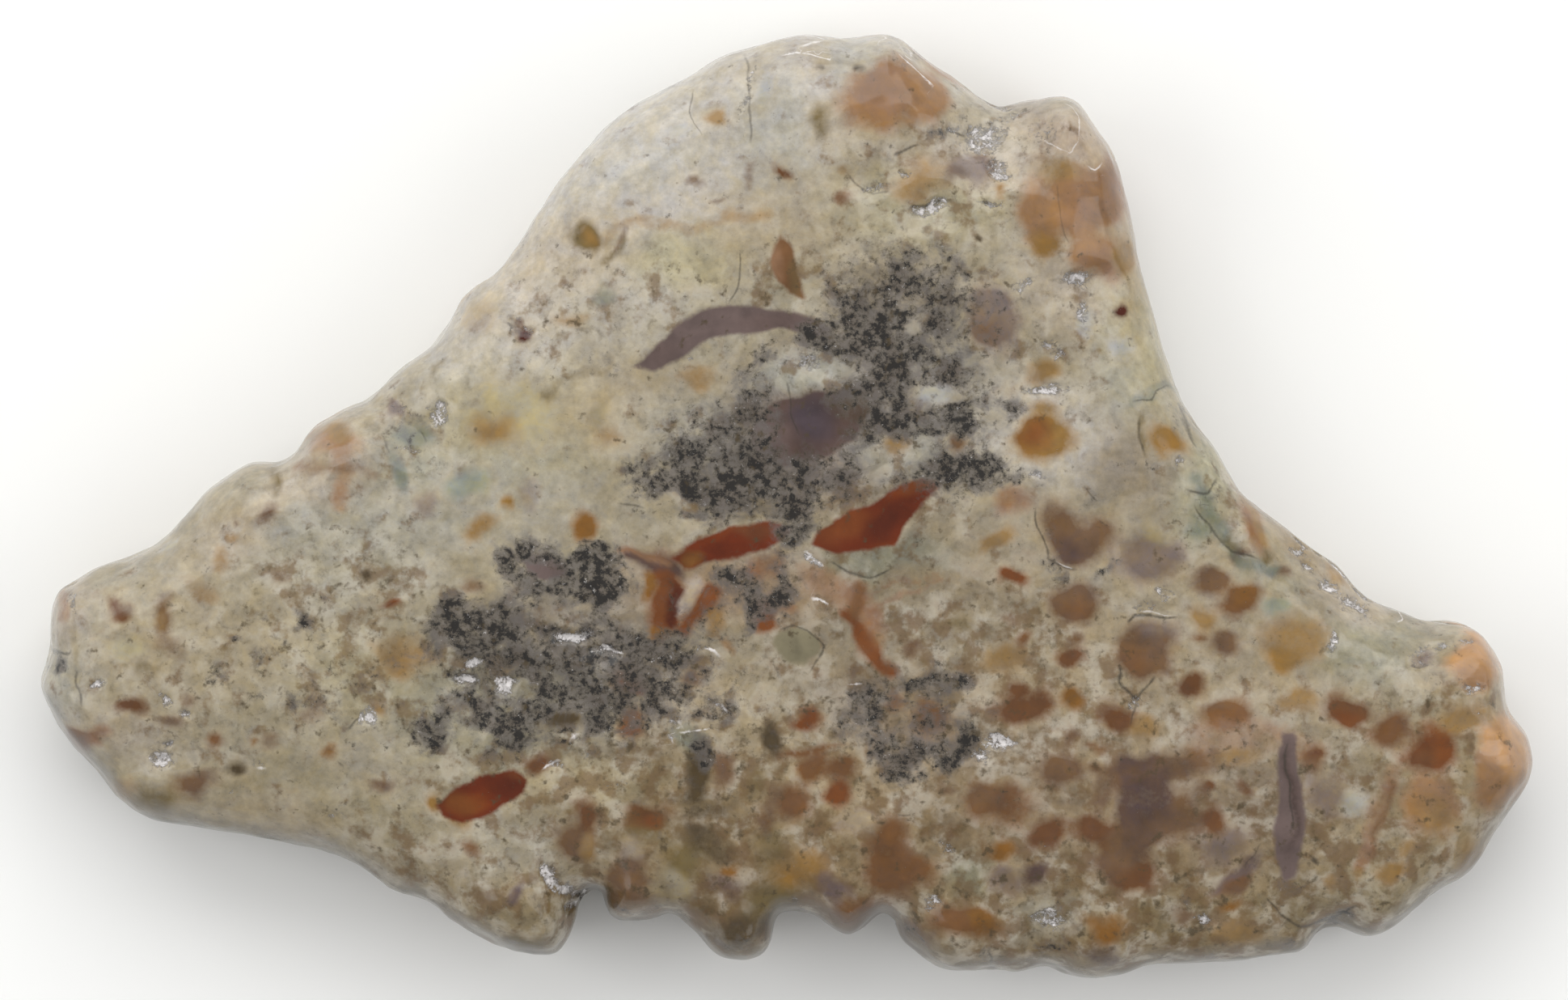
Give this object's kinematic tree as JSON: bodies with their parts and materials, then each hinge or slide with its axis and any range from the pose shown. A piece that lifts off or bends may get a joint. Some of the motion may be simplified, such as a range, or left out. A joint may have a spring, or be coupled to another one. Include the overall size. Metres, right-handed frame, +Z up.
{
  "type": "dinosaur coprolite",
  "caption": "Tumble-polished slab of agatised dinosaur coprolite, roughly triangular, with rounded knobs and notches along its edge, lying on its flat back.",
  "frame": {"origin": "centre of the outline, on the surface that the flat back rests on", "axes": "+X along the longest extent, towards the two-knobbed right nose; +Y towards the crest; +Z up through the thickness, out of the patterned face"},
  "size_m": [0.095, 0.06, 0.013],
  "materials": {
    "agatised_stone": "tumble-polished agatised coprolite: pale grey-beige chalcedony with red-brown rounded cells, smoky agate lenses, black dendrites and small crystal pits"
  },
  "bodies": {
    "root": {"coprolite": "agatised_stone"}
  },
  "joints": []
}
